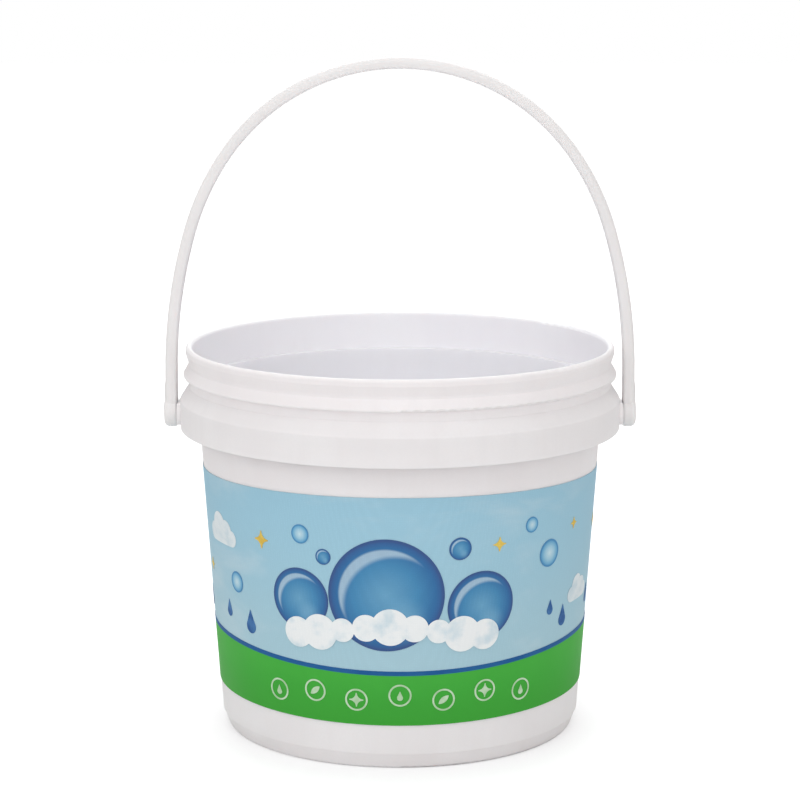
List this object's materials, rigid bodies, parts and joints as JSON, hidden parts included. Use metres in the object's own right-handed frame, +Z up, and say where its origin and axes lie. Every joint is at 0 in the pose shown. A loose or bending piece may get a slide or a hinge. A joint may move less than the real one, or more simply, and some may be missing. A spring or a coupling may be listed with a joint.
{
  "type": "plastic pail",
  "caption": "Round tapered plastic pail with a snap bead, sloping shoulder, hanging skirt, swinging bail handle and a printed wrap label.",
  "frame": {"origin": "middle of the foot ring, on the ground that the pail stands on", "axes": "+Z up through the pail, +X through the right-hand pivot, -Y towards the middle of the label's front"},
  "size_m": [0.1622, 0.1508, 0.2301],
  "materials": {
    "pail": "satin white polypropylene",
    "bail": "satin white polypropylene",
    "label_sky": "printed film, satin",
    "band_green": "printed film, satin",
    "line_blue": "printed film, satin",
    "bubble_blue": "printed film, satin",
    "bubble_light": "printed film, satin",
    "foam_white": "printed film, satin",
    "cloud_white": "printed film, satin",
    "sparkle_yellow": "printed film, satin",
    "drop_blue": "printed film, satin",
    "ring_white": "printed film, satin"
  },
  "bodies": {
    "pail": {"pail_body": "pail", "label_film": "label_sky", "print_green_band": "band_green", "print_blue_line": "line_blue", "print_blue_bubbles": "bubble_blue", "print_light_bubbles": "bubble_light", "print_foam": "foam_white", "print_clouds": "cloud_white", "print_sparkles": "sparkle_yellow", "print_drops": "drop_blue", "print_rings": "ring_white"},
    "bail": {"bail_handle": "bail"}
  },
  "joints": [
    {"name": "bail_swing", "type": "hinge", "parent": "pail", "child": "bail", "pos_m": [0, 0, 0.1087], "axis": [1, 0, 0], "range_deg": [-145, 145]}
  ]
}
